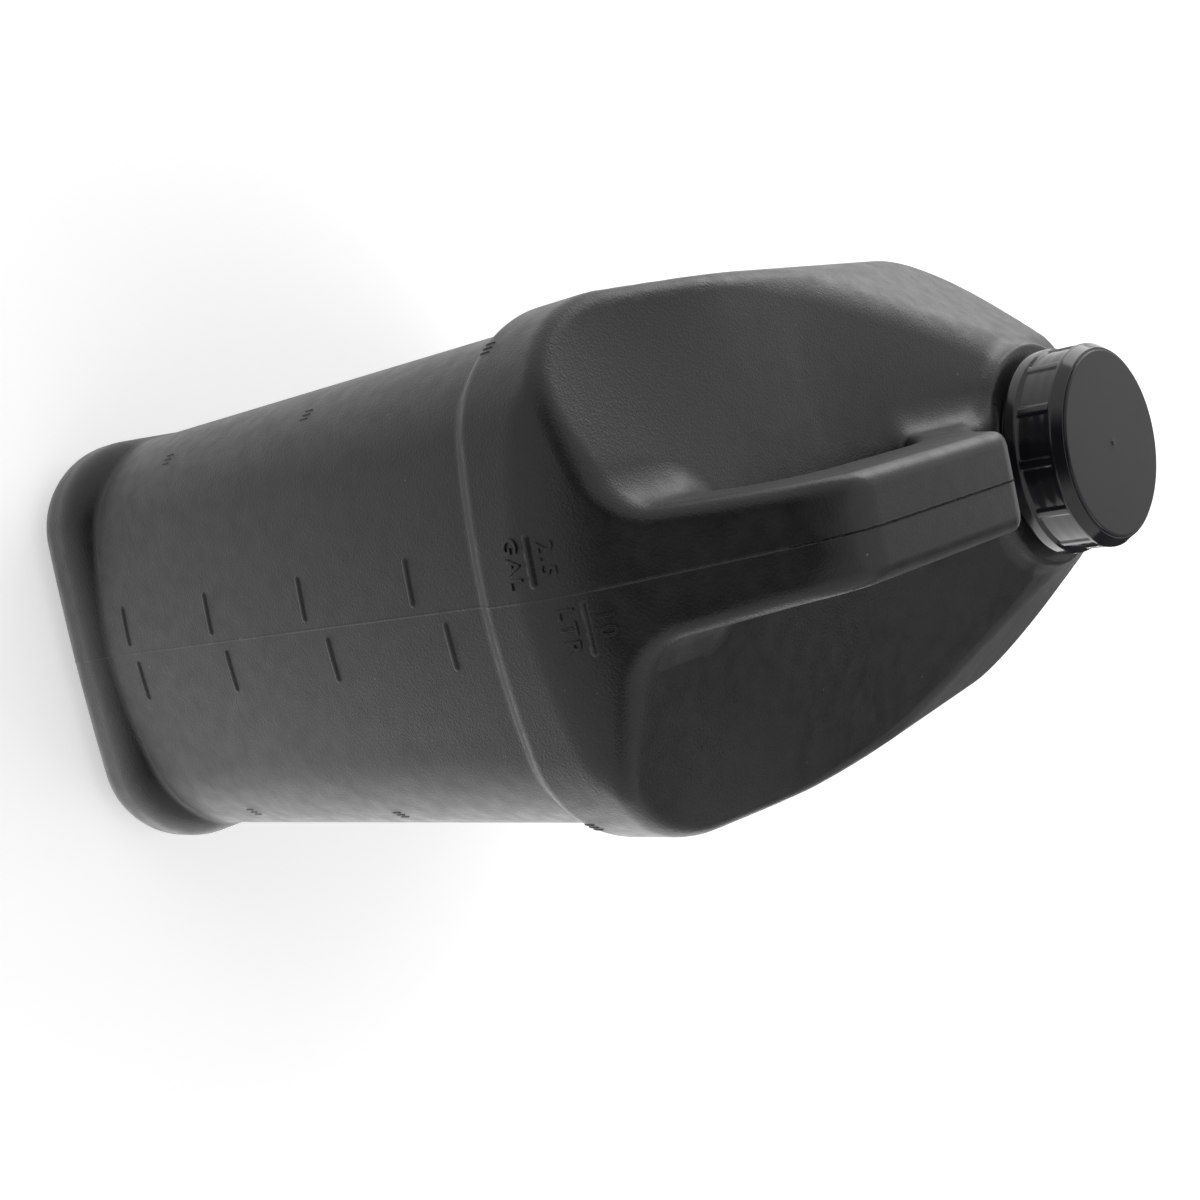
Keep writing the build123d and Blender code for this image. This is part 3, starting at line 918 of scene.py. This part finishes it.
def floor_white():
    """White floor that keeps the shadow: lifted for the camera, and brighter to the right in reflections."""
    material = bpy.data.materials.new("floor_white")
    material.use_nodes = True
    tree = material.node_tree
    tree.nodes.remove(tree.nodes["Principled BSDF"])
    matte = add(tree, "BsdfDiffuse", {"Color": (0.9, 0.9, 0.9, 1)})
    path = add(tree, "LightPath", {}).outputs
    place = add(tree, "TexCoord", {}).outputs["Object"]
    parts = add(tree, "SeparateXYZ", {"Vector": place}).outputs
    across = remap(tree, parts["X"], *FLOOR_SHINE_ACROSS)
    along = remap(tree, parts["Y"], *FLOOR_SHINE_ALONG)
    shine = add(tree, "Math", {0: across, 1: along}, operation="MULTIPLY").outputs["Value"]
    sockets = {0: path["Is Camera Ray"], 1: path["Is Transmission Ray"]}
    seen = add(tree, "Math", sockets, operation="MAXIMUM")
    lift = add(tree, "Math", {0: seen.outputs["Value"], 1: FLOOR_LIFT}, operation="MULTIPLY")
    sockets = {0: path["Is Glossy Ray"], 1: shine, 2: lift.outputs["Value"]}
    lift = add(tree, "Math", sockets, operation="MULTIPLY_ADD")
    glow = add(tree, "Emission", {"Strength": lift.outputs["Value"]})
    both = add(tree, "AddShader", {0: matte.outputs["BSDF"], 1: glow.outputs["Emission"]})
    tree.links.new(both.outputs["Shader"], tree.nodes["Material Output"].inputs["Surface"])
    return material


def dark_flag():
    """Dark card beside the jug that shows only in reflections."""
    (x0, y0, z0), (x1, y1, z1) = FLAG
    mesh = bpy.data.meshes.new("flag")
    mesh.from_pydata([(x0, y0, z0), (x1, y1, z0), (x1, y1, z1), (x0, y0, z1)], [], [(0, 1, 2, 3)])
    material = bpy.data.materials.new("flag_black")
    material.use_nodes = True
    shader = material.node_tree.nodes["Principled BSDF"]
    shader.inputs["Base Color"].default_value = (0.02, 0.02, 0.02, 1)
    shader.inputs["Roughness"].default_value = 0.9
    mesh.materials.append(material)
    card = bpy.data.objects.new("flag", mesh)
    card.visible_camera = False
    card.visible_diffuse = False
    card.visible_shadow = False
    bpy.context.scene.collection.objects.link(card)


def soft_box(name, place, target, size, power):
    """Rectangular lamp that faces a target point."""
    lamp = bpy.data.lights.new(name, "AREA")
    lamp.shape = "RECTANGLE"
    lamp.size, lamp.size_y = size
    lamp.energy = power
    box = bpy.data.objects.new(name, lamp)
    box.location = place
    box.rotation_euler = (Vector(target) - Vector(place)).to_track_quat("-Z", "Y").to_euler()
    bpy.context.scene.collection.objects.link(box)


def studio():
    scene = bpy.context.scene
    scene.view_settings.view_transform = "Standard"
    camera = bpy.data.objects.new("camera", bpy.data.cameras.new("camera"))
    camera.data.lens = CAMERA_LENS
    camera.data.sensor_width = CAMERA_SENSOR
    up = CAMERA_BACK.cross(CAMERA_RIGHT)
    turn = Matrix((CAMERA_RIGHT, up, CAMERA_BACK)).transposed()
    camera.matrix_world = Matrix.Translation(CAMERA_PLACE * MM) @ turn.to_4x4()
    scene.collection.objects.link(camera)
    scene.camera = camera
    scene.world = white_world()
    mesh = bpy.data.meshes.new("floor")
    reach = FLOOR_REACH
    corners = [(-reach, -reach, 0), (reach, -reach, 0), (reach, reach, 0), (-reach, reach, 0)]
    mesh.from_pydata(corners, [], [(0, 1, 2, 3)])
    floor = bpy.data.objects.new("floor", mesh)
    floor.data.materials.append(floor_white())
    scene.collection.objects.link(floor)
    dark_flag()
    for name, place, target, size, power in LAMPS:
        soft_box(name, place, target, size, power)


bottle_material = bottle_plastic()
pieces = (
    (bottle_skin(), "bottle", "bottle", "bottle_plastic", bottle_material),
    (scale_marks(), "bottle", None, "bottle_plastic", bottle_material),
    (flash(), "bottle", None, "bottle_plastic", torn_plastic()),
    (cap_shell(), "screw_cap", "cap", "cap_plastic", cap_plastic()),
)
for piece, body, node, slot, material in pieces:
    piece.data.materials.append(material)
    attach(piece, body)
    if node:
        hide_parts(node)
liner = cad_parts["liner"]
liner.data.materials.clear()
liner.data.materials.append(liner_foam())

studio()
